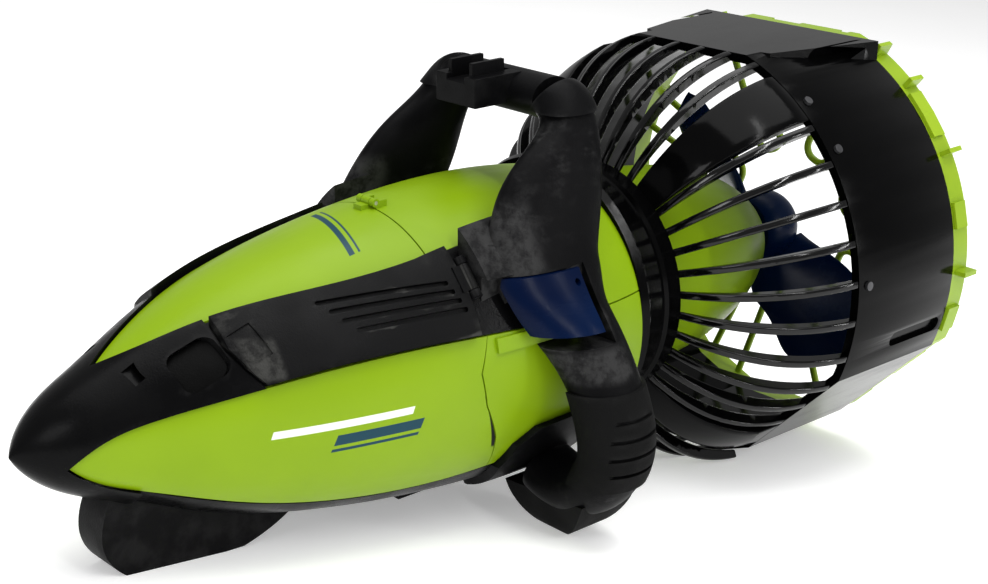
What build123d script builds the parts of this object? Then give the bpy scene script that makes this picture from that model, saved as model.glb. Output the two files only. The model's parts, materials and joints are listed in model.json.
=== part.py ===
from build123d import *
import os
from math import cos, radians, sin

# Underwater scooter. Everything is drawn in the body's own frame, in millimetres: nose tip at y = 0,
# tail along +Y, port side +X, up +Z. stance() tips each part into the pose in which the object rests.

# ---- driving dimensions ---------------------------------------------------------------------
LENGTH = 640.0            # nose tip to the end of the rear rim
HULL_Z = 155.0            # height of the hull's centreline over the datum
DRIVE_Z = 160.0           # height of the propeller shaft over the datum
SKIN = 3.0                # wall of the hull mouldings
GAP = 0.5                 # half of the seam between two mouldings
PROUD = 2.5               # how far the black nose frame stands over the lime panels
LEVER_LIFT = 0.4          # clearance under the latch levers
LEVER_TOP = 5.5           # how far the latch levers stand over the hull
STANCE = 6.5              # nose-down angle at rest, degrees
HULL_LINE = [(15, 18.5), (50, 37), (100, 60), (175, 81.5), (250, 92.5), (330, 95.5), (388, 89)]
TOP_LINE = [(10, 68), (25, 105), (45, 166), (55, 228)]                     # (x, y) edge of the hatch
SIDE_TIP = (20, 149)                                                       # (y, z) front of a side panel
SIDE_TOP = [(38, 163), (63, 171), (118, 181), (199, 186.5), (257, 185)]
SIDE_BOTTOM = [(39, 135), (65, 125), (123, 106), (200, 91), (273, 91)]
SIDE_SEAM = [(257, 185), (250, 164), (254, 143), (266, 118), (273, 91)]
SEAM_Y = 240.0            # seam behind the hatch
FRAME_END = [(106, 260), (105, 203), (112, 191), (121, 180), (121, 60)]    # (y, z) back of the nose frame
LEVER_END = 250.0         # back of the latch levers
LEVER_ANGLE = 40.0        # where the lever's hinge lies round the hull, from +X
LEVER_PIN_R = 96.6        # hinge pin's distance from the hull's centreline
RAIL_END = 300.0          # back of the side rails
HULL_END = 386.0          # front of the collar
COLLAR_END = 430.0        # where the ribs and the tail cone start
SHROUD_R = 154.0          # outer radius of the duct
SHROUD_WALL = 6.0
SHROUD_Y = (519.0, 622.0) # front and back of the duct
FLAT_Z = 146.0            # flats at the top and bottom of the duct, from the shaft
FACET = 141.5             # 45 degree flats at its lower sides, from the shaft
PLATE_X = (56.0, 78.0)    # half width of the top plate at its front and at its back
RIB_WIDTH = 5.0
SIDE_STEP = 10.0          # degrees between the ribs at the sides
TOP_STEP = 9.0            # and between those at the top and bottom
STRUT_ANGLES = (54.5, 125.5, 234.5, 305.5)
STRUT_WIDTH = 15.0        # degrees
PROP_R = 112.0            # tip of the blades
PROP_Y = 604.0            # middle of the propeller hub
HUB_R = 26.0
HUB_END = 623.0           # back of the propeller hub
SHAFT_R = 6.0
RUNNING_FIT = 0.04        # radial clearance of shafts and pins
BAR_Z = 302.0             # crossbar centre
HANDLE_Y = 351.0          # and its place along the hull
CAMERA_HOLE_Y = 325.0     # screw hole in the camera seat
GROUND_Y = 82.0           # the floor passes under the nose foot here, in the body frame
GROUND_Z = 67.0

TRIGGER_PIVOT = (316.0, 208.0)        # (y, z)
HATCH_PIVOT = (240.5, 249.6)          # (y, z)
PROP_ANGLES = (-43, 137)              # blades, degrees from +X
RIM_FINS = (-1, 30, 50, 62, 118, 130, 150, 181)         # thin fins on the rear rim
RIM_STEPS = (-14, 14, 38, 44, 136, 142, 166, 194)       # raised blocks on the rear rim

NODES = {}


# ---- helpers --------------------------------------------------------------------------------
def floor_height(y):
    """Height of the floor in the body frame at station y."""
    return GROUND_Z - (y - GROUND_Y) * sin(radians(STANCE)) / cos(radians(STANCE))


def box(x, y, z):
    """Box between the (low, high) pairs given for each axis."""
    size = [high - low for low, high in (x, y, z)]
    middle = [(high + low) / 2 for low, high in (x, y, z)]
    return Pos(*middle) * Box(*size)


def rod(start, end, radius):
    """Round rod between two points."""
    line = Line(start, end)
    return sweep(Plane(origin=start, z_dir=line % 0) * Circle(radius), line)


def turned(points, height):
    """Solid turned about the line parallel to Y at this height, from (y, radius) corners."""
    face = make_face(Polyline(*[(r, y) for y, r in points], close=True))
    return Pos(0, 0, height) * revolve(face, Axis.Y)


def ring(y, outer, inner, height):
    """Plain ring about the line parallel to Y."""
    return turned([(y[0], inner), (y[1], inner), (y[1], outer), (y[0], outer)], height)


def hull_curve(grow):
    """Half outline of the hull, nose to collar, its skin moved outwards by grow."""
    return Spline((0, -grow), *[(r + grow, y) for y, r in HULL_LINE])


def hull(grow):
    """Solid hull of revolution, its skin moved outwards by grow."""
    curve = hull_curve(grow)
    sides = Polyline(curve @ 1, (0, HULL_LINE[-1][0]), curve @ 0)
    return Pos(0, 0, HULL_Z) * revolve(make_face(curve + sides), Axis.Y)


def shell(outer, inner):
    """Skin between two offsets of the hull."""
    outside = hull_curve(outer)
    inside = hull_curve(inner)
    edges = [outside, inside, Line(outside @ 0, inside @ 0), Line(outside @ 1, inside @ 1)]
    return Pos(0, 0, HULL_Z) * revolve(make_face(edges), Axis.Y)


def across(face, x_low, x_high):
    """Face drawn as (y, z), run across from x_low to x_high."""
    return extrude(Pos(x_low, 0, 0) * (Plane.YZ * face), amount=x_high - x_low, dir=(1, 0, 0))


def upwards(face, z_low, z_high):
    """Face drawn as (x, y), run up from z_low to z_high."""
    return extrude(Pos(0, 0, z_low) * face, amount=z_high - z_low, dir=(0, 0, 1))


def corners(*points):
    """Face with straight sides."""
    return make_face(Polyline(*points, close=True))


def hatch_area(grow, rear):
    """Spear-shaped plan of the hatch, from its tip back to y = rear."""
    tip = (0, 50 - 2 * grow)
    side = Spline(tip, *[(x + grow, y) for x, y in TOP_LINE])
    end = side @ 1
    rest = Polyline(end, (end.X, rear), (0, rear), tip)
    half = upwards(make_face(side + rest), HULL_Z, 400)
    return half + mirror(half, Plane.YZ)


def side_area(grow, x_low, x_high):
    """Leaf-shaped side view of a lime side panel, up to its rear seam."""
    tip = (SIDE_TIP[0] - 2 * grow, SIDE_TIP[1])
    top = Spline(tip, *[(y, z + grow) for y, z in SIDE_TOP])
    bottom = Spline(tip, *[(y, z - grow) for y, z in SIDE_BOTTOM])
    seam = [(y + grow, z) for y, z in SIDE_SEAM[1:-1]]
    rear = Polyline(top @ 1, *seam, bottom @ 1)
    return across(make_face([top, bottom, rear]), x_low, x_high)


def below_side(drop):
    """Everything under the lower edge of the side panels."""
    line = Spline((58, 128 - drop), *[(y, z - drop) for y, z in SIDE_BOTTOM[2:]], (HULL_END, 104 - drop))
    rest = Polyline(line @ 1, (HULL_END, 0), (58, 0), line @ 0)
    return across(make_face(line + rest), -200, 200)


def above_side(lift):
    """Everything over the upper edge of the side panels, behind the nose frame."""
    line = Spline((90, 176 + lift), *[(y, z + lift) for y, z in SIDE_TOP[2:]], (HULL_END, 182 + lift))
    rest = Polyline(line @ 1, (HULL_END, 400), (90, 400), line @ 0)
    return across(make_face(line + rest), -200, 200)


def both(name, shape):
    """Store a port part and its mirror image on the starboard side."""
    NODES[name + "_left"] = shape
    NODES[name + "_right"] = mirror(shape, Plane.YZ)


def group(name, *shapes):
    """Store several separate solids under one name."""
    NODES[name] = Compound(children=[solid for shape in shapes for solid in shape.solids()])


def pair(name, shape):
    """Store a port part and its mirror image together under one name."""
    group(name, shape, mirror(shape, Plane.YZ))


def tube_through(stations):
    """Smooth limb through stations of (centre, width, depth); depth runs fore and aft."""
    centres = [Vector(*centre) for centre, width, depth in stations]
    sections = []
    for i, (centre, width, depth) in enumerate(stations):
        run = centres[min(i + 1, len(centres) - 1)] - centres[max(i - 1, 0)]
        plane = Plane(origin=centres[i], x_dir=Vector(0, 1, 0).cross(run), z_dir=run)
        sections.append(plane * Ellipse(width / 2, depth / 2))
    return loft(sections)


# ---- hull -----------------------------------------------------------------------------------
def build_hull():
    skin = shell(0, -SKIN)
    rail_gap = hatch_area(GAP, RAIL_END)
    front_of_frame = across(corners((-20, 400), *FRAME_END, (58, 60), (58, -50), (-20, -50)), -200, 200)
    frame = (shell(PROUD, -SKIN) & front_of_frame) - side_area(GAP, -200, 200)
    frame -= hatch_area(GAP, 130)
    frame -= box((-200, 200), (58 - GAP, 130), (0, 128))
    slot = Pos(23, 67, 193) * Rot(0, 30, 12) * Box(12, 17, 4)
    recess = Pos(41, 92, 196) * Rot(0, 48, 10) * extrude(RectangleRounded(26, 27, 7), amount=16, both=True)
    openings = slot + mirror(slot, Plane.YZ) + recess + mirror(recess, Plane.YZ)
    NODES["nose_frame"] = main_piece(frame - openings)
    inset = shell(-1.5, -SKIN) & (Pos(41, 92, 196) * Rot(0, 48, 10)
                                  * extrude(RectangleRounded(25, 26, 6.5), amount=16, both=True))
    pair("nose_insets", inset)

    NODES["top_hatch"] = skin & hatch_area(-GAP, SEAM_Y - GAP)
    seal_area = hatch_area(-4, SEAM_Y - 6) - hatch_area(-7, SEAM_Y - 9)
    NODES["hatch_seal"] = shell(-SKIN - 0.4, -SKIN - 2.4) & seal_area
    rear = skin & above_side(GAP) & box((-200, 200), (SEAM_Y + GAP, HULL_END), (0, 400))
    rail_zone = box((0, 200), (90, RAIL_END), (0, 400)) - rail_gap
    rail_zones = rail_zone + mirror(rail_zone, Plane.YZ)
    NODES["top_rear_cover"] = rear - rail_zones
    both("side_panel", skin & side_area(-GAP, 0, 200))
    rear_band = box((0, 200), (240, HULL_END), (0, 400)) - side_area(GAP, 0, 200)
    rear_band -= across(corners((230, 60), (230, 190), *[(y + GAP, z) for y, z in SIDE_SEAM], (273, 60)), 0, 200)
    rear_side = (skin & rear_band) - above_side(-GAP) - below_side(-GAP)
    lip = (shell(2.0, 0) & box((0, 200), (262, 306), (174, 182.5))) - above_side(-GAP)
    both("rear_side_panel", (rear_side + lip).solids().sort_by(SortBy.VOLUME)[-1])
    NODES["keel"] = (skin & below_side(GAP) & box((-200, 200), (58 + GAP, HULL_END), (0, 200)))

    rail = (shell(-0.2, -SKIN) & above_side(GAP) & behind_frame(RAIL_END, 1)) - rail_gap
    pair("side_rails", rail)


def behind_frame(end, gap):
    """Port half of the space behind the nose frame, as far as y = end."""
    frame = across(corners((-20, 400), *[(y + gap, z) for y, z in FRAME_END], (-20, 60)), -200, 200)
    return box((0, 200), (90, end), (100, 400)) - frame


def lever_cut(start, end, width, deep):
    """Groove that follows the hull from one (y, degrees) to another."""
    def on_hull(y, angle, radius):
        return Vector(radius * cos(radians(angle)), y, HULL_Z + radius * sin(radians(angle)))
    a = on_hull(start[0], start[1], 84)
    b = on_hull(end[0], end[1], 96)
    middle = (a + b) * 0.5
    outwards = Vector(middle.X, 0, middle.Z - HULL_Z)
    plane = Plane(origin=middle, x_dir=b - a, z_dir=(b - a).cross(outwards).cross(b - a))
    length = (b - a).length
    return (plane * extrude(SlotOverall(length, width), amount=30, both=True)) - hull(LEVER_TOP - deep)


def build_levers():
    """Grooved latch levers along both rails, each hinged on a pin at its rear end."""
    plan = behind_frame(LEVER_END, 2) - hatch_area(3.5, RAIL_END)
    lever = shell(LEVER_TOP, LEVER_LIFT) & above_side(3.0) & plan
    for start, end in [((160, 49), (240, 40)), ((165, 44), (242, 36.5)), ((170, 39), (244, 33)),
                       ((176, 34), (246, 29.5))]:
        lever -= lever_cut(start, end, 3.0, 2.5)
    worn = Pos(49, 118, 201) * Rot(0, 47, 12) * Box(22, 14, 30)
    lever -= worn - hull(LEVER_TOP - 1.2)
    knuckle = rod(*lever_axis(8), 3.6)
    tongue = Pos(0, -4, 0) * Pos(*lever_middle()) * Rot(0, -LEVER_ANGLE, 0) * Box(4, 9, 16)
    bore = rod(*lever_axis(30), 1.5 + RUNNING_FIT)
    lever = (lever + tongue + (knuckle - hull(LEVER_LIFT))) - bore
    both("latch_lever", lever.solids().sort_by(SortBy.VOLUME)[-1])
    pair("latch_pins", rod(*lever_axis(13), 1.5))
    lugs = rod(*lever_axis(13), 3.8) - rod(*lever_axis(8.5), 6) - rod(*lever_axis(30), 1.5)
    pair("latch_lugs", lugs - hull(0.0))


def lever_middle():
    """Middle of the port lever's hinge pin."""
    angle = radians(LEVER_ANGLE)
    return Vector(LEVER_PIN_R * cos(angle), 254.5, HULL_Z + LEVER_PIN_R * sin(angle))


def lever_axis(half):
    """Two points on the port lever's hinge line, half that far to either side."""
    along = Vector(-sin(radians(LEVER_ANGLE)), 0, cos(radians(LEVER_ANGLE)))
    return lever_middle() - along * half, lever_middle() + along * half


# ---- handles --------------------------------------------------------------------------------
def limb(fatter):
    """Port handle as one smooth limb: down the upper leg, round the grip and back to the hull."""
    stations = [((42, 351, 302), 26, 34), ((51, 352, 296), 28, 36), ((59, 348, 282), 28, 44),
                ((65, 336, 260), 28, 66), ((70, 321, 237), 29, 80), ((80, 312, 212), 30, 80),
                ((96, 315, 185), 32, 61), ((111, 322, 160), 35, 51), ((123, 325, 134), 37, 48),
                ((129, 325, 107), 37, 48), ((120, 324, 85), 36, 47), ((98, 322, 74), 33, 46),
                ((74, 321, 78), 30, 44)]
    return tube_through([(centre, width + fatter, depth + fatter) for centre, width, depth in stations])


def main_piece(shape):
    """Largest solid of a cut shape."""
    return shape.solids().sort_by(SortBy.VOLUME)[-1]


def build_handles():
    plain = limb(0)
    y, z = TRIGGER_PIVOT
    pocket = box((84, 200), (y - 50, y + 12), (z - 35, z + 7.6))
    lug = box((89, 93), (y - 5, y + 13), (z - 5, z + 9))
    switch = box((96, 106), (y + 12, y + 16.5), (z - 30, z - 20))
    pin = rod((87, y, z), (98, y, z), 2)
    handle = main_piece(plain - hull(0.3) - pocket) + lug - pin - switch
    both("handle", handle)
    pair("trigger_switches", switch)
    pair("trigger_pins", pin)
    trigger = (limb(4) & box((84, 200), (y - 46, y + 5), (z - 27, z + 7))) - hull(6)
    trigger -= box((80, 96), (y - 8, y + 21), (z - 8, z + 11))
    trigger -= rod((60, y, z), (200, y, z), 2 + RUNNING_FIT)
    both("trigger", main_piece(trigger))
    coil = [Pos(93.6 + 0.9 * turn, y, z) * Rot(0, 90, 0) * Torus(3.0, 0.4) for turn in range(3)]
    group("trigger_springs", *coil, *[mirror(turn, Plane.YZ) for turn in coil])
    sleeve = (limb(4.4) - plain) & box((112, 200), (285, 365), (86, 146))
    for height in (97, 108, 119, 130):
        sleeve -= box((142, 200), (302, 365), (height, height + 2.4))
    pair("grip_sleeves", main_piece(sleeve))

    bar = tube_through([((x, HANDLE_Y, BAR_Z), 26, 34) for x in (-41.5, -21, 0, 21, 41.5)])
    seat_y = (309, 347)
    seat_z = (297, 315)
    seat = box((-18, 18), seat_y, seat_z)
    NODES["crossbar"] = bar - seat - plain - mirror(plain, Plane.YZ)
    block = seat - box((-8, 8), (seat_y[0] - 1, seat_y[1] + 1), (seat_z[1] - 3.5, seat_z[1] + 1))
    flange = box((8, 11), (seat_y[0] + 4, seat_y[1] - 8), (seat_z[1] - 1, seat_z[1] + 8))
    block += flange + mirror(flange, Plane.YZ)
    NODES["camera_mount"] = block - Pos(0, CAMERA_HOLE_Y, 300) * Cylinder(3.2, 60)
    cap = (limb(5) - limb(0.2) - bar) & box((34, 110), (318, 376), (297, 345))
    pair("crossbar_caps", main_piece(cap))

    bracket = shell(12, -0.2) & above_side(8) & box((0, 200), (260, RAIL_END - 1), (100, 400))
    trigger_room = box((80, 200), (200, 400), (0, z + 9))
    pair("rail_brackets", main_piece(bracket - hatch_area(4, 320) - handle - trigger_room))
    view = corners((278, 90), (283, 107), (296, 117), (350, 119), (350, 60), (290, 60))
    lower = (shell(5, 0) & across(view, 30, 200)) - plain
    pair("lower_brackets", main_piece(lower))
    pad = across(make_face(Spline((303, 72), (308, 52), (319, 39), (334, 37), (345, 51), (348, 72))
                           + Line((348, 72), (303, 72))), 48, 140)
    front_view = make_face(Spline((54, 68), (63, 50), (79, 38.5), (97, 41), (112, 53), (123, 72))
                           + Line((123, 72), (54, 68)))
    pad &= Pos(0, 290, 0) * extrude(Plane.XZ * front_view, amount=80, both=True)
    pair("handle_feet", main_piece((pad - plain - lower) & above_floor()))


# ---- feet and floor -------------------------------------------------------------------------
def above_floor():
    """Everything over the floor in the resting stance."""
    ends = [(y, floor_height(y)) for y in (-60, 700)]
    return across(corners(*ends, (700, 420), (-60, 420)), -220, 220)


def build_feet():
    front = Spline((56, 128), (43, 106), (42, 90), (54, 71), (84, 64))
    back = Spline((134, 62), (156, 69), (172, 78), (188, 100))
    view = make_face(front + Line(front @ 1, back @ 0) + back + Line(back @ 1, front @ 0))
    fin = (across(view, -13, 13) - hull(0) - NODES["nose_frame"]) & above_floor()
    NODES["nose_foot"] = main_piece(fin)
    lug = Pos(0, 262, 60) * Box(26, 24, 10)
    NODES["drain_plug"] = main_piece(lug - hull(0))


# ---- drive ----------------------------------------------------------------------------------
def on_drive(y, outer, inner=0.0):
    """Disc or ring about the propeller shaft between the two y values."""
    return ring(y, outer, inner, DRIVE_Z)


def build_drive():
    NODES["collar"] = turned([(HULL_END, 70), (HULL_END, 89), (391, 91), (397, 86), (415, 81), (417, 83),
                              (COLLAR_END, 81), (COLLAR_END, 70)], DRIVE_Z)
    skin = [[(69.6 - inset, COLLAR_END), (66 - inset, 485), (54 - inset, 533 - inset), (42 - inset, 557 - inset),
             (24 - inset, 579 - inset)] for inset in (0, SKIN)]
    outside = Line((69.6, 400), skin[0][0]) + Spline(*skin[0])
    inside = Line((66.6, 400), skin[1][0]) + Spline(*skin[1])
    walls = Line((66.6, 400), (69.6, 400)) + Polyline(skin[0][-1], (9, 579), (9, 576), skin[1][-1])
    NODES["tail_cone"] = Pos(0, 0, DRIVE_Z) * revolve(make_face(outside + inside + walls), Axis.Y)
    NODES["motor"] = on_drive((336, 424), 36)
    NODES["motor_mount"] = on_drive((425, 430), 66, 16)
    NODES["gearbox"] = on_drive((424, 430), 15.5) + on_drive((430, 466), 32)
    NODES["bearing_carrier"] = on_drive((508, 541), 30, 16)
    group("shaft_bearings", *[on_drive((y, y + 10), 16, SHAFT_R + RUNNING_FIT) for y in (510, 529)])
    NODES["shaft_seal"] = on_drive((576, 579), 9, SHAFT_R + RUNNING_FIT)
    NODES["prop_shaft"] = on_drive((470, 632), SHAFT_R)
    NODES["shaft_coupling"] = on_drive((472, 492), 14, SHAFT_R)
    nut = Pos(0, HUB_END, DRIVE_Z) * extrude(Plane.XZ * RegularPolygon(12, 6), amount=-6)
    NODES["prop_nut"] = nut - on_drive((610, 640), SHAFT_R)


def build_propeller():
    start = 585
    line = Spline((HUB_R - 3, start), (HUB_R, start + 8), (HUB_R - 1, HUB_END - 9), (18, HUB_END))
    ends = Polyline((18, HUB_END), (0, HUB_END), (0, start), (HUB_R - 3, start))
    wheel = Pos(0, 0, DRIVE_Z) * revolve(make_face(line + ends), Axis.Y)
    sections = []
    for radius, chord, thick, pitch in [(20, 44, 9, 50), (50, 64, 7, 36), (85, 72, 5, 27), (PROP_R, 36, 3, 21)]:
        x_dir = (cos(radians(pitch)), -sin(radians(pitch)), 0)
        plane = Plane(origin=(0, PROP_Y, radius), x_dir=x_dir, z_dir=(0, 0, 1))
        sections.append(plane * Ellipse(chord / 2, thick / 2))
    blade = loft(sections)
    for angle in PROP_ANGLES:
        wheel += Pos(0, 0, DRIVE_Z) * Rot(0, 90 - angle, 0) * blade
    NODES["propeller"] = wheel - on_drive((start - 10, HUB_END + 10), SHAFT_R)


# ---- cage and duct --------------------------------------------------------------------------
def rib_face(end_radius):
    """Side view of one rib as (radius, y), from the collar out to the duct."""
    front = SHROUD_Y[0]
    knee = 0.25 * 80 + 0.75 * end_radius
    outer = Spline((80, COLLAR_END), (knee, 465), (end_radius + 3, front))
    inner = Spline((72, COLLAR_END), (knee - 7, 470), (end_radius - 3, front))
    return make_face([outer, inner, Line(outer @ 0, inner @ 0), Line(outer @ 1, inner @ 1)])


def end_radius(angle):
    """Distance from the shaft to the middle of the duct's wall at this angle from +X."""
    upright = abs(sin(radians(angle)))
    facet = max(cos(radians(angle + 45)), cos(radians(angle + 135)), 0.1)
    return min(SHROUD_R - 3, (FLAT_Z - 3) / max(upright, 0.1), (FACET - 3) / facet)


def build_cage():
    left = [SIDE_STEP * (i - 4.5) for i in range(10)]
    top = [TOP_STEP * (i - 2.5) for i in range(6)]
    for name, centre, spread in [("left", 0, left), ("top", 90, top), ("right", 180, left), ("bottom", 270, top)]:
        ribs = []
        for angle in [centre + offset for offset in spread]:
            bar = extrude(rib_face(end_radius(angle)), amount=RIB_WIDTH / 2, both=True)
            ribs.append(Pos(0, 0, DRIVE_Z) * Rot(0, -angle, 0) * bar)
        group("cage_ribs_" + name, *ribs)
    struts = []
    for angle in STRUT_ANGLES:
        wedge = revolve(rib_face(end_radius(angle) + 1.5), Axis.Y, revolution_arc=STRUT_WIDTH)
        turned_wedge = Pos(0, 0, DRIVE_Z) * Rot(0, -angle - STRUT_WIDTH / 2, 0) * wedge
        struts.append(turned_wedge & duct_section(SHROUD_R, FLAT_Z, FACET, (COLLAR_END, SHROUD_Y[0])))
    group("cage_struts", *struts)


def duct_section(radius, flat, facet, y):
    """Solid duct outline: a circle with flats at the top, the bottom and low on both sides."""
    outline = on_drive(y, radius) & box((-200, 200), y, (DRIVE_Z - flat, DRIVE_Z + flat))
    for angle, distance in ((-45, facet), (-135, facet), (-68, facet + 5), (-112, facet + 5)):
        side = box((-200, distance), (y[0] - 1, y[1] + 1), (-250, 250))
        outline &= Pos(0, 0, DRIVE_Z) * Rot(0, -angle, 0) * side
    return outline


def duct_bore(y):
    """Inside of the duct."""
    return duct_section(SHROUD_R - SHROUD_WALL, FLAT_Z - SHROUD_WALL, FACET - SHROUD_WALL, y)


def on_duct(angle, shape):
    """Shape drawn along +X from the shaft, turned to this angle about it."""
    return Pos(0, 0, DRIVE_Z) * Rot(0, -angle, 0) * shape


def build_shroud():
    front, back = SHROUD_Y
    narrow, wide = PLATE_X
    arc = ThreePointArc((-narrow, front + 16), (0, front + 9), (narrow, front + 16))
    plan = make_face(arc + Polyline((narrow, front + 16), (wide, back), (-wide, back), (-narrow, front + 16)))
    duct = duct_section(SHROUD_R, FLAT_Z, FACET, SHROUD_Y)
    duct += upwards(plan, DRIVE_Z + 130, DRIVE_Z + FLAT_Z)
    duct -= duct_bore((front - 1, back + 1))
    for angle in (64, 116, -14, 194):
        duct -= on_duct(angle, Pos(SHROUD_R + 2, 590, 0) * (Plane.YZ * extrude(SlotOverall(54, 11), amount=5, both=True)))
    NODES["shroud"] = duct & above_floor()

    rim_y = (back, LENGTH)
    rim = duct_section(SHROUD_R - 1.5, FLAT_Z - 1.5, FACET - 1.5, rim_y)
    for angle in RIM_FINS:
        rim += on_duct(angle, box((120, SHROUD_R + 7), (back + 5, LENGTH), (-1.6, 1.6)))
    for angle in RIM_STEPS:
        rim += on_duct(angle, box((120, SHROUD_R + 1), (back + 3, LENGTH - 3), (-9, 9)))
    for angle in range(0, 360, 24):
        rim -= on_duct(angle, box((138, 150), (LENGTH - 4, LENGTH + 1), (-13, 13)))
    NODES["rear_rim"] = main_piece((rim - duct_bore((back - 1, LENGTH + 1))) & above_floor())
    petals = []
    for i in range(8):
        path = FilletPolyline((149, 15, 0), (52, 10, 0), (52, -10, 0), (149, -15, 0), radius=9)
        wire = sweep(Plane(origin=path @ 0, z_dir=path % 0) * Circle(2.6), path)
        petals.append(Pos(0, 636, DRIVE_Z) * Rot(0, 22.5 + 45 * i, 0) * Rot(90, 0, 0) * wire)
    group("rear_guard", *[petal & duct_bore((back, LENGTH)) for petal in petals])
    heads = []
    for angle in (4, 38, 52, 128, 142, 176):
        head = on_duct(angle, Pos(SHROUD_R, 528, 0) * Rot(0, 90, 0) * Cylinder(3, 4))
        heads.append(head - on_drive(SHROUD_Y, SHROUD_R))
    group("shroud_screws", *heads)


# ---- inside the hull ------------------------------------------------------------------------
def build_inside():
    NODES["battery"] = box((-38, 38), (130, 240), (118, 178))
    NODES["battery_cradle"] = box((-40, 40), (126, 242), (113, 117.8))
    NODES["battery_terminals"] = Compound(children=[on_lead(x, (240, 243), 4) for x in (-14, 14)])
    holes = on_lead(-14, (240, 260), 2.5) + on_lead(14, (240, 260), 2.5)
    NODES["bulkhead"] = (ring((244, 248), 87, 0, HULL_Z) - holes) & box((-100, 100), (240, 250), (0, 236))
    NODES["speed_controller"] = box((-30, 30), (262, 318), (140, 176))
    group("power_leads", *[on_lead(x, y, 2.2) for x in (-14, 14) for y in ((243, 262), (318, 336))])
    bar = box((14, 40), (256, 326), (88, 106))
    group("ballast_bars", bar, mirror(bar, Plane.YZ))


def on_lead(x, y, radius):
    """Straight lead along Y at the height of the terminals."""
    return Pos(x, 0, 0) * ring(y, radius, 0, 162)


def build_hinge():
    """Hinge between the hatch and the cover behind it."""
    y, z = HATCH_PIVOT
    arm = box((-3.6, 3.6), (y - 8, y - 0.5), (z - 6, z - 1))
    eye = rod((-3.6, y, z), (3.6, y, z), 2.6)
    bore = rod((-20, y, z), (20, y, z), 1.2)
    clear = rod((-20, y, z), (20, y, z), 1.2 + RUNNING_FIT)
    notch = box((-9, 9), (y - 3.4, y + 3.4), (z - 3.2, z + 4))
    NODES["top_hatch"] = NODES["top_hatch"] - notch + (((arm + eye) - hull(-1.0)) - clear)
    lug = rod((4.0, y, z), (8.0, y, z), 2.6) + box((4.0, 8.0), (y, y + 8), (z - 4, z + 1))
    lugs = ((lug + mirror(lug, Plane.YZ)) - hull(-1.0)) - bore
    NODES["top_rear_cover"] = NODES["top_rear_cover"] - notch + lugs
    NODES["hatch_pin"] = rod((-8, y, z), (8, y, z), 1.2)


def stance(shape):
    """Tip the object nose-down onto its feet and put the middle of its footprint at the origin."""
    return Pos(0, -MIDDLE_Y, -FLOOR_DROP) * Rot(STANCE, 0, 0) * shape


def build():
    build_hull()
    build_hinge()
    build_levers()
    build_handles()
    build_feet()
    build_drive()
    build_propeller()
    build_cage()
    build_shroud()
    build_inside()


build()
# the floor line, turned level, sets how far the object drops; the ends set where its middle lies
FLOOR_DROP = GROUND_Y * sin(radians(STANCE)) + GROUND_Z * cos(radians(STANCE))
tipped = [(Rot(STANCE, 0, 0) * shape).bounding_box() for shape in NODES.values()]
MIDDLE_Y = (min(b.min.Y for b in tipped) + max(b.max.Y for b in tipped)) / 2

os.makedirs("parts", exist_ok=True)
for name, shape in NODES.items():
    export_step(stance(shape), "parts/" + name + ".step")
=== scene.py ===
import bpy
import json
from math import atan2, cos, radians, sin
from mathutils import Matrix, Vector

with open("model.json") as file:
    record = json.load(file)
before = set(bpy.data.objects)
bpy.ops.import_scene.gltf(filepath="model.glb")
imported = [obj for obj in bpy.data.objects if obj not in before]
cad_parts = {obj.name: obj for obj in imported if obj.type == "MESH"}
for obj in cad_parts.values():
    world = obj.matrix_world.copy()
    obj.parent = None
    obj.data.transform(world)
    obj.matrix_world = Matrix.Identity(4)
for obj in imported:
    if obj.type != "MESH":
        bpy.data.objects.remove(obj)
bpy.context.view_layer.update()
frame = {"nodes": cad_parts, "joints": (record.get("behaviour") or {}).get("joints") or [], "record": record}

# Sizes are metres. Places are given in the body's own frame, as in part.py: nose tip at y = 0,
# tail along +Y, port side +X, before the object is tipped onto its feet.
DRIVE_Z = 0.160                      # height of the propeller's axis
PROP_Y = 0.604                       # the propeller's place along that axis


def stance_matrix():
    """Body frame to row frame, from the propeller joint's place and axis."""
    joint = next(j for j in frame["joints"] if j["name"] == "propeller_spin")
    turn = Matrix.Rotation(atan2(joint["axis"][2], joint["axis"][1]), 4, "X")
    hub = turn @ Vector((0, PROP_Y, DRIVE_Z))
    return Matrix.Translation(Vector(joint["pos_m"]) - hub) @ turn


STANCE = stance_matrix()


# ---- materials ------------------------------------------------------------------------------
# Noise scales, in cycles per metre
CLOUD, SMEAR, RIPPLE, PEEL = 9, 26, 70, 420                    # moulded gloss
WEAR_PATCH, SHEEN, EDGE_BREAK, RUB, FLECK, GRAIN, PIT = 11, 34, 60, 90, 130, 160, 900   # scuffed black
METAL_TONE, METAL_SHEEN, TOOL_MARK = 40, 90, 700               # bare metal
FLOOR_TONE = 3
# Depths in metres of the relief that each kind of surface shows
GLOSS_RELIEF, GRAIN_RELIEF, METAL_RELIEF = 0.0006, 0.0004, 0.0003
PRINT_EDGE = 0.0004                  # softness of the edge of a printed mark


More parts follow.
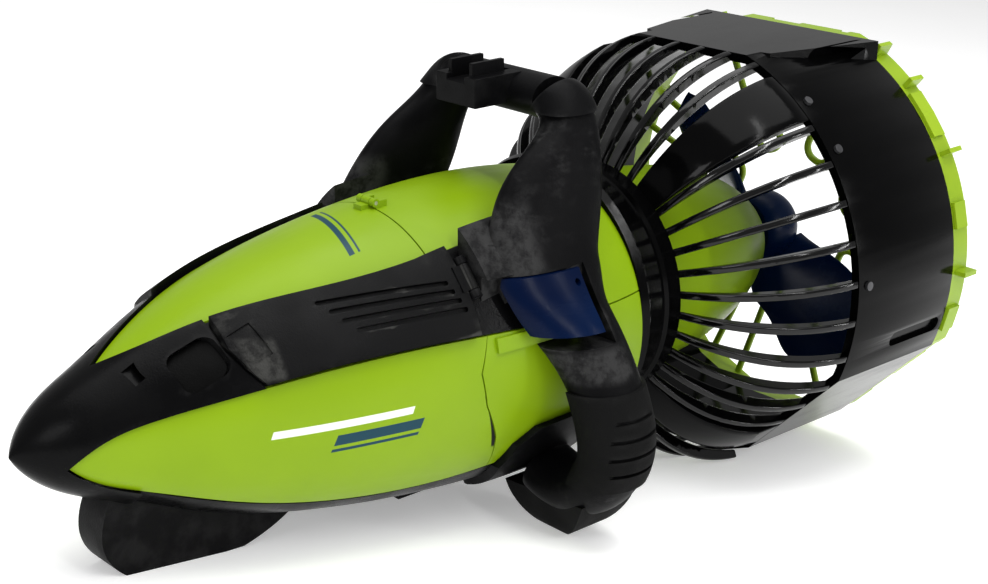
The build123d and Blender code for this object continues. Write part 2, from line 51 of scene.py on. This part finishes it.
class Shader:
    """Small helper round one node material."""

    def __init__(self, name):
        self.material = bpy.data.materials.new(name)
        self.material.use_nodes = True
        self.tree = self.material.node_tree
        self.bsdf = self.tree.nodes["Principled BSDF"]
        coords = self.add("ShaderNodeTexCoord")
        self.place = coords.outputs["Object"]
        to_body = self.add("ShaderNodeMapping")
        inverse = STANCE.inverted()
        to_body.inputs["Rotation"].default_value = inverse.to_euler()
        to_body.inputs["Location"].default_value = inverse.translation
        self.link(self.place, to_body.inputs["Vector"])
        split = self.add("ShaderNodeSeparateXYZ")
        self.link(to_body.outputs["Vector"], split.inputs["Vector"])
        self.x, self.y, self.z = split.outputs

    def add(self, kind, **values):
        node = self.tree.nodes.new(kind)
        for key, value in values.items():
            setattr(node, key, value)
        return node

    def link(self, source, target):
        self.tree.links.new(source, target)

    def noise(self, scale, detail=4.0, rough=0.55, stretch=(1, 1, 1)):
        mapping = self.add("ShaderNodeMapping")
        mapping.inputs["Scale"].default_value = stretch
        self.link(self.place, mapping.inputs["Vector"])
        node = self.add("ShaderNodeTexNoise")
        node.inputs["Scale"].default_value = scale
        node.inputs["Detail"].default_value = detail
        node.inputs["Roughness"].default_value = rough
        self.link(mapping.outputs["Vector"], node.inputs["Vector"])
        return node.outputs["Fac"]

    def ramp(self, source, low, high, start, end):
        """Smooth step of a value from start to end as source goes from low to high."""
        node = self.add("ShaderNodeMapRange", interpolation_type="SMOOTHSTEP")
        for name, value in (("From Min", low), ("From Max", high), ("To Min", start), ("To Max", end)):
            node.inputs[name].default_value = value
        self.link(source, node.inputs["Value"])
        return node.outputs["Result"]

    def math(self, kind, a, b):
        node = self.add("ShaderNodeMath", operation=kind)
        for socket, value in zip(node.inputs, (a, b)):
            if isinstance(value, (int, float)):
                socket.default_value = value
            else:
                self.link(value, socket)
        return node.outputs[0]

    def mix(self, factor, a, b):
        node = self.add("ShaderNodeMix", data_type="RGBA")
        self.link(factor, node.inputs["Factor"])
        for socket, value in ((node.inputs[6], a), (node.inputs[7], b)):
            if isinstance(value, tuple):
                socket.default_value = (*value, 1)
            else:
                self.link(value, socket)
        return node.outputs[2]

    def window(self, value, low, high, soft=PRINT_EDGE):
        """One where low < value < high, falling to zero over soft at both ends."""
        return self.math("MULTIPLY", self.ramp(value, low - soft, low, 0.0, 1.0),
                         self.ramp(value, high, high + soft, 1.0, 0.0))

    def patch(self, *windows):
        """One where every (value, low, high) window is open."""
        mask = self.window(*windows[0])
        for window in windows[1:]:
            mask = self.math("MULTIPLY", mask, self.window(*window))
        return mask

    def bump(self, height, strength, distance=GLOSS_RELIEF):
        node = self.add("ShaderNodeBump")
        node.inputs["Strength"].default_value = strength
        node.inputs["Distance"].default_value = distance
        self.link(height, node.inputs["Height"])
        self.link(node.outputs["Normal"], self.bsdf.inputs["Normal"])

    def worn_edges(self, low, high):
        """Bright on convex edges, from the mesh's own curvature."""
        geometry = self.add("ShaderNodeNewGeometry")
        return self.ramp(geometry.outputs["Pointiness"], low, high, 0.0, 1.0)


def marked(s, base, marks):
    """Base colour with flat printed marks of (mask, colour) over it."""
    for mask, colour in marks:
        base = s.mix(mask, base, colour)
    return base


def gloss_plastic(name, colour, deep, rough, specular, peel, marks=None):
    """Shiny moulded plastic with faint orange peel, smears and fine scratches."""
    s = Shader(name)
    tone = s.ramp(s.noise(CLOUD, 3), 0.35, 0.7, 0.0, 1.0)
    base = s.mix(tone, deep, colour)
    s.link(marked(s, base, marks(s) if marks else []), s.bsdf.inputs["Base Color"])
    smear = s.noise(SMEAR, 6, 0.65, (1, 0.25, 1))
    s.link(s.ramp(smear, 0.35, 0.68, rough[0], rough[1]), s.bsdf.inputs["Roughness"])
    s.bsdf.inputs["Specular IOR Level"].default_value = specular
    grain = s.math("MULTIPLY", s.noise(PEEL, 2), 0.6)
    s.bump(s.math("ADD", grain, s.noise(RIPPLE, 3)), peel)
    return s.material


def worn_plastic(name, colour, worn, amount, rough=(0.4, 0.62), grain=0.35, specular=0.3, marks=None):
    """Grained black plastic with grey scuffs that gather in patches and on edges."""
    s = Shader(name)
    patches = s.ramp(s.noise(WEAR_PATCH, 5, 0.6), 0.52, 0.72, 0.0, 1.0)
    flecks = s.ramp(s.noise(FLECK, 5, 0.7, (1, 0.5, 1)), 0.45, 0.7, 0.0, 1.0)
    scuff = s.math("MULTIPLY", patches, flecks)
    broken = s.ramp(s.noise(EDGE_BREAK, 4), 0.4, 0.65, 0.0, 1.0)
    wear = s.math("MAXIMUM", scuff, s.math("MULTIPLY", s.worn_edges(0.52, 0.6), broken))
    if marks:
        rubbed = s.ramp(s.noise(RUB, 5, 0.7), 0.35, 0.6, 0.2, 1.0)
        wear = s.math("MAXIMUM", wear, s.math("MULTIPLY", marks(s), rubbed))
    wear = s.math("MULTIPLY", wear, amount)
    s.link(s.mix(wear, colour, worn), s.bsdf.inputs["Base Color"])
    s.link(s.ramp(s.noise(SHEEN, 4), 0.3, 0.7, rough[0], rough[1]), s.bsdf.inputs["Roughness"])
    s.bsdf.inputs["Specular IOR Level"].default_value = specular
    coarse = s.math("MULTIPLY", s.noise(GRAIN, 3), 0.5)
    s.bump(s.math("ADD", s.noise(PIT, 2, 0.6), coarse), grain, GRAIN_RELIEF)
    return s.material


def turned_metal(name, colour, rough=(0.22, 0.4)):
    """Brushed or turned metal."""
    s = Shader(name)
    s.bsdf.inputs["Metallic"].default_value = 1.0
    tone = s.ramp(s.noise(METAL_TONE, 4, 0.6, (1, 6, 1)), 0.3, 0.7, 0.0, 1.0)
    dark = tuple(0.7 * c for c in colour)
    s.link(s.mix(tone, dark, colour), s.bsdf.inputs["Base Color"])
    s.link(s.ramp(s.noise(METAL_SHEEN, 4), 0.3, 0.7, rough[0], rough[1]), s.bsdf.inputs["Roughness"])
    s.bump(s.noise(TOOL_MARK, 2, 0.6, (1, 8, 1)), 0.15, METAL_RELIEF)
    return s.material


WHITE_INK = (0.75, 0.80, 0.70)
BLUE_INK = (0.004, 0.040, 0.062)
SLIT = (0.0015, 0.0022, 0.0006)
# Printed bars as (reach along the hull, reach up or across, ink)
BAR_SLANT, BAR_RISE = -0.35, 0.02    # the side bars lean back and climb a little
SIDE_BARS = (
    ((0.0660, 0.1500), (0.1550, 0.1590), WHITE_INK),
    ((0.1055, 0.1595), (0.1445, 0.1505), BLUE_INK),
    ((0.1055, 0.1595), (0.1405, 0.1420), BLUE_INK),
)
HATCH_SLANT = 0.25
HATCH_BARS = (
    ((0.2080, 0.2115), (-0.020, 0.036), BLUE_INK),
    ((0.2145, 0.2155), (-0.020, 0.036), BLUE_INK),
    ((0.0680, 0.0840), (-0.025, -0.019), BLUE_INK),
)
# Places as (low, high, softness): the slit at the panel seam and the rubbed parts of lever and handle
SEAM_SLANT = 0.348
SLIT_ALONG, SLIT_UP = (0.3042, 0.3095, 0.0006), (0.112, 0.148, 0.003)
LEVER_ALONG, LEVER_UP = (0.114, 0.128, 0.004), (0.188, 0.204, 0.004)
KNUCKLE_ALONG, KNUCKLE_UP = (0.262, 0.292, 0.012), (0.205, 0.248, 0.012)
UNDER_ALONG, UNDER_UP = (0.288, 0.330, 0.008), (0.156, 0.168, 0.006)


def slanted(s, run, slope, side):
    """A run that shifts in proportion to another coordinate."""
    return s.math("ADD", run, s.math("MULTIPLY", side, slope))


def bars(s, along, across, table):
    """Printed bars, each with its ink."""
    return [(s.patch((along, *reach), (across, *width)), ink) for reach, width, ink in table]


def side_marks(s):
    """Plain printed bars on a side panel, and the dark slit at its rear seam."""
    along = slanted(s, s.y, BAR_SLANT, s.z)
    rise = slanted(s, s.z, BAR_RISE, s.y)
    slit = s.patch((slanted(s, s.y, SEAM_SLANT, s.z), *SLIT_ALONG), (s.z, *SLIT_UP))
    return bars(s, along, rise, SIDE_BARS) + [(slit, SLIT)]


def hatch_marks(s):
    """Two printed bars across the top of the hatch and a short one near its tip."""
    return bars(s, slanted(s, s.y, HATCH_SLANT, s.x), s.x, HATCH_BARS)


def lever_marks(s):
    """Rubbed patch near the front of each latch lever."""
    return s.patch((s.y, *LEVER_ALONG), (s.z, *LEVER_UP))


def handle_marks(s):
    """Rubbed places where hands and straps touch the handles."""
    knuckle = s.patch((s.y, *KNUCKLE_ALONG), (s.z, *KNUCKLE_UP))
    under = s.patch((s.y, *UNDER_ALONG), (s.z, *UNDER_UP))
    return s.math("MAXIMUM", knuckle, under)


# Colours are linear. Plastics are given as (main or moulded colour, deeper or scuffed colour).
LIME_SKIN = (0.200, 0.325, 0.0030), (0.180, 0.298, 0.0024)
LIME_LIGHT = (0.27, 0.40, 0.012), (0.21, 0.33, 0.006)
BLACK_SHINE = (0.0012, 0.0012, 0.0013), (0.0006, 0.0006, 0.0007)
BLACK_SKIN = (0.0022, 0.0022, 0.0025)
LIME = gloss_plastic("lime_plastic", *LIME_SKIN, rough=(0.30, 0.46), specular=0.16, peel=0.06)
LIME_SIDE = gloss_plastic("lime_side", *LIME_SKIN, rough=(0.28, 0.44), specular=0.16, peel=0.06,
                          marks=side_marks)
LIME_HATCH = gloss_plastic("lime_hatch", *LIME_SKIN, rough=(0.30, 0.46), specular=0.16, peel=0.06,
                           marks=hatch_marks)
LIME_TRIM = gloss_plastic("lime_trim", *LIME_LIGHT, rough=(0.3, 0.45), specular=0.35, peel=0.08)
GLOSS = gloss_plastic("black_gloss", *BLACK_SHINE, rough=(0.10, 0.20), specular=0.07, peel=0.05)
RIB = gloss_plastic("black_rib", *BLACK_SHINE, rough=(0.07, 0.15), specular=0.30, peel=0.04)
NAVY = gloss_plastic("navy_plastic", (0.0006, 0.009, 0.042), (0.0002, 0.003, 0.018), rough=(0.20, 0.34),
                     specular=0.07, peel=0.06)
SATIN = worn_plastic("black_satin", BLACK_SKIN, (0.03, 0.03, 0.03), 0.26, (0.36, 0.56), 0.3, 0.05)
HANDLE = worn_plastic("black_handle", BLACK_SKIN, (0.05, 0.05, 0.05), 0.5, (0.34, 0.52), 0.3, 0.05,
                      handle_marks)
NOSE = worn_plastic("black_nose", (0.0018, 0.0018, 0.0020), (0.025, 0.025, 0.025), 0.22, (0.20, 0.36),
                    0.2, 0.06)
LEVER = worn_plastic("black_lever", (0.0028, 0.0028, 0.0030), (0.07, 0.07, 0.065), 0.5, (0.30, 0.50),
                     0.45, 0.07, lever_marks)
RUBBER = worn_plastic("black_rubber", (0.0045, 0.0045, 0.0045), (0.015, 0.015, 0.015), 0.35, (0.6, 0.8),
                      0.5, 0.05)
# Nose insets: black painted darker than the other blacks, as painted shade in their recesses; the grey
# scuffs over it are real wear
RECESS_SHADE = worn_plastic("recess_painted_shade", (0.0008, 0.0008, 0.0008), (0.006, 0.006, 0.006), 0.3, (0.4, 0.6),
                    0.3, 0.06)
INNER = worn_plastic("inner_plastic", (0.06, 0.06, 0.065), (0.14, 0.14, 0.14), 0.3)
STEEL = turned_metal("steel", (0.55, 0.55, 0.56))
DULL_STEEL = turned_metal("dull_steel", (0.10, 0.10, 0.105), (0.35, 0.55))
CAN = turned_metal("motor_can", (0.40, 0.41, 0.42), (0.3, 0.5))
COPPER = turned_metal("copper", (0.60, 0.33, 0.14))
# material of each CAD slot, and the nodes that have their own
BY_SLOT = {"lime": LIME, "black_gloss": GLOSS, "black_satin": SATIN, "black_rubber": RUBBER, "navy": NAVY,
           "steel": STEEL, "motor_can": CAN, "inner_plastic": INNER, "copper": COPPER}
SPECIAL = {"nose_frame": NOSE, "keel": NOSE, "side_rails": NOSE, "latch_lever_left": LEVER,
           "latch_lever_right": LEVER, "rear_rim": LIME_TRIM, "rear_guard": LIME_TRIM,
           "side_panel_left": LIME_SIDE, "side_panel_right": LIME_SIDE, "top_hatch": LIME_HATCH,
           "cage_ribs_left": RIB, "cage_ribs_right": RIB, "cage_ribs_top": RIB, "cage_ribs_bottom": RIB,
           "shroud_screws": DULL_STEEL, "trigger_pins": DULL_STEEL, "latch_pins": DULL_STEEL,
           "handle_left": HANDLE, "handle_right": HANDLE, "rail_brackets": HANDLE, "nose_insets": RECESS_SHADE}
# hard-edged mouldings, with the radius that rounds their edges
RIB_EDGE = 0.0016
LEVER_EDGE = 0.0008
ROUNDED = {"cage_ribs_left": RIB_EDGE, "cage_ribs_right": RIB_EDGE, "cage_ribs_top": RIB_EDGE,
           "cage_ribs_bottom": RIB_EDGE, "cage_struts": 0.0012, "shroud": 0.0010, "camera_mount": 0.0006,
           "rail_brackets": 0.0010, "latch_lever_left": LEVER_EDGE, "latch_lever_right": LEVER_EDGE}
WELD_GAP = 0.00002
BEVEL_STEPS = 3
SHARP_ANGLE = radians(38)


def soften(piece, radius):
    """Round the hard edges of a moulding."""
    weld = piece.modifiers.new("weld", "WELD")
    weld.merge_threshold = WELD_GAP
    bevel = piece.modifiers.new("bevel", "BEVEL")
    bevel.width = radius
    bevel.segments = BEVEL_STEPS
    bevel.limit_method = "ANGLE"
    bevel.angle_limit = SHARP_ANGLE
    bevel.harden_normals = True


def finish_cad_nodes():
    """Material and softened edges for each CAD node."""
    for part in frame["record"]["subparts"]:
        name = part["node"]
        node = frame["nodes"][name]
        material = SPECIAL.get(name, BY_SLOT[part["material_slot"]])
        for slot in node.material_slots:
            slot.material = material
        if name in ROUNDED:
            soften(node, ROUNDED[name])


finish_cad_nodes()


# ---- stage ----------------------------------------------------------------------------------
WHITE = (1, 1, 1, 1)
FLOOR_HALF = 6.0
FLOOR_PALE, FLOOR_PALER = (0.93, 0.93, 0.93), (0.96, 0.96, 0.96)
FLOOR_ROUGH = 0.9
FLOOR_GLOW = 0.30                    # lifts the floor to the photograph's white
WORLD_LIGHT = 0.45
# name, place, point aimed at, width and height, watts
LIGHTS = (
    ("overhead", (0, 0, 3.0), (0, 0, 0), (3.0, 3.0), 88),
    ("strip", (1.3, -0.1, 1.5), (0, 0.1, 0.15), (0.04, 1.8), 13),
    ("rim", (1.6, 0.9, 0.7), (0, 0.2, 0.15), (0.05, 1.2), 7),
    ("nose", (0.5, -1.5, 0.9), (0, -0.1, 0.1), (0.5, 0.5), 6),
)


def studio():
    """Pale floor and soft lights."""
    mesh = bpy.data.meshes.new("floor")
    corners = [(x * FLOOR_HALF, y * FLOOR_HALF, 0) for x, y in ((-1, -1), (1, -1), (1, 1), (-1, 1))]
    mesh.from_pydata(corners, [], [(0, 1, 2, 3)])
    floor = bpy.data.objects.new("floor", mesh)
    bpy.context.scene.collection.objects.link(floor)
    s = Shader("floor_paper")
    s.link(s.mix(s.noise(FLOOR_TONE, 2), FLOOR_PALE, FLOOR_PALER), s.bsdf.inputs["Base Color"])
    s.bsdf.inputs["Roughness"].default_value = FLOOR_ROUGH
    s.bsdf.inputs["Emission Color"].default_value = WHITE
    s.bsdf.inputs["Emission Strength"].default_value = FLOOR_GLOW
    mesh.materials.append(s.material)

    world = bpy.data.worlds.new("studio")
    world.use_nodes = True
    back = world.node_tree.nodes["Background"]
    back.inputs["Color"].default_value = WHITE
    back.inputs["Strength"].default_value = WORLD_LIGHT
    bpy.context.scene.world = world

    for name, place, aim, size, power in LIGHTS:
        lamp = bpy.data.lights.new(name, "AREA")
        lamp.shape = "RECTANGLE"
        lamp.size, lamp.size_y = size
        lamp.energy = power
        holder = bpy.data.objects.new(name, lamp)
        bpy.context.scene.collection.objects.link(holder)
        holder.location = place
        direction = Vector(aim) - Vector(place)
        holder.rotation_euler = direction.to_track_quat("-Z", "Y").to_euler()


VIEW_TURN = radians(49)              # round from the nose towards port
VIEW_RISE = radians(20.5)
VIEW_AIM = Vector((0, 0.320, 0.150))
VIEW_DISTANCE = 1.151
SENSOR, FOCAL_LENGTH = 36.0, 65.587  # millimetres
SHIFT = (0.0253, 0.0354)             # of the picture's width


def camera():
    """Camera at the photograph's viewing angle, level with the body's own frame."""
    back = Vector((sin(VIEW_TURN) * cos(VIEW_RISE), -cos(VIEW_TURN) * cos(VIEW_RISE), sin(VIEW_RISE)))
    right = Vector((0, 0, 1)).cross(back).normalized()
    up = back.cross(right)
    turn = Matrix((right, up, back)).transposed().to_4x4()
    lens = bpy.data.cameras.new("camera")
    lens.sensor_width = SENSOR
    lens.lens = FOCAL_LENGTH
    lens.shift_x, lens.shift_y = SHIFT
    holder = bpy.data.objects.new("camera", lens)
    bpy.context.scene.collection.objects.link(holder)
    holder.matrix_world = STANCE @ Matrix.Translation(VIEW_AIM + back * VIEW_DISTANCE) @ turn
    bpy.context.scene.camera = holder


studio()
camera()
bpy.context.scene.view_settings.view_transform = "Standard"
